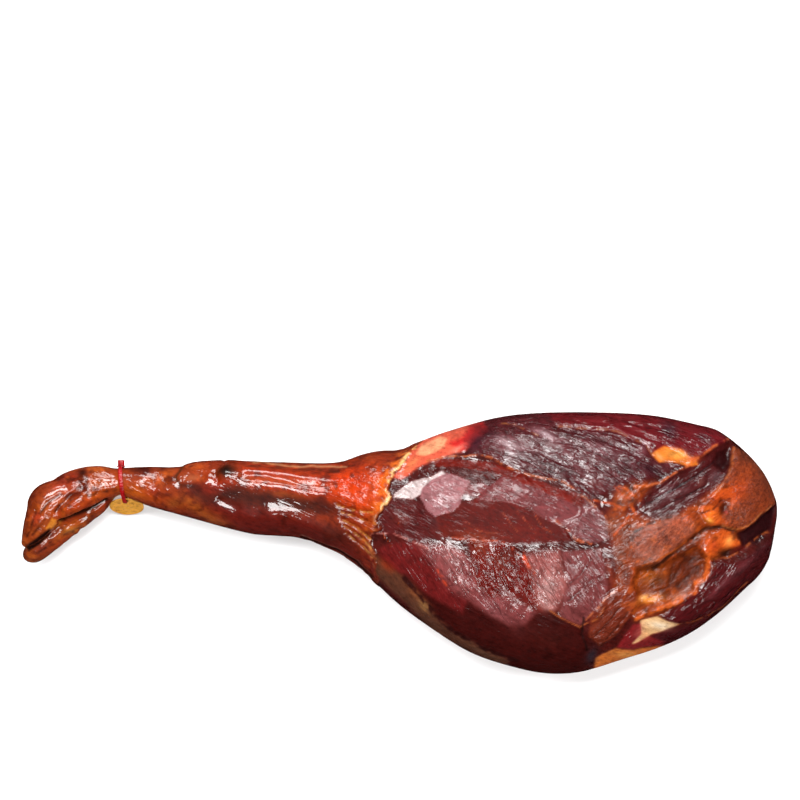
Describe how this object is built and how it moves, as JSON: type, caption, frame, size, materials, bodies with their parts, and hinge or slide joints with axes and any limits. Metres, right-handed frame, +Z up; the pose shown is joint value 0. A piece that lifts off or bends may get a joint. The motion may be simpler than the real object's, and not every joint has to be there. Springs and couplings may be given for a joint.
{
  "type": "whole cured ham with trotter",
  "caption": "Whole dry-cured ham lying on its skin side, boned meat face up, trotter on, with a red pull-tight seal and a round gold tag at the ankle.",
  "frame": {"origin": "middle of the whole object's footprint, on the surface it lies on", "axes": "+X from the trotter to the butt, +Y across the leg to the side of the ankle seal's head, +Z up from the table out of the boned meat face"},
  "size_m": [0.7214, 0.2512, 0.0956],
  "materials": {
    "cured_meat": "gloss",
    "red_plastic": "gloss",
    "gold_metal": "satin"
  },
  "bodies": {
    "root": {"ham": "cured_meat", "ankle_seal": "red_plastic", "gold_tag": "gold_metal"}
  },
  "joints": []
}
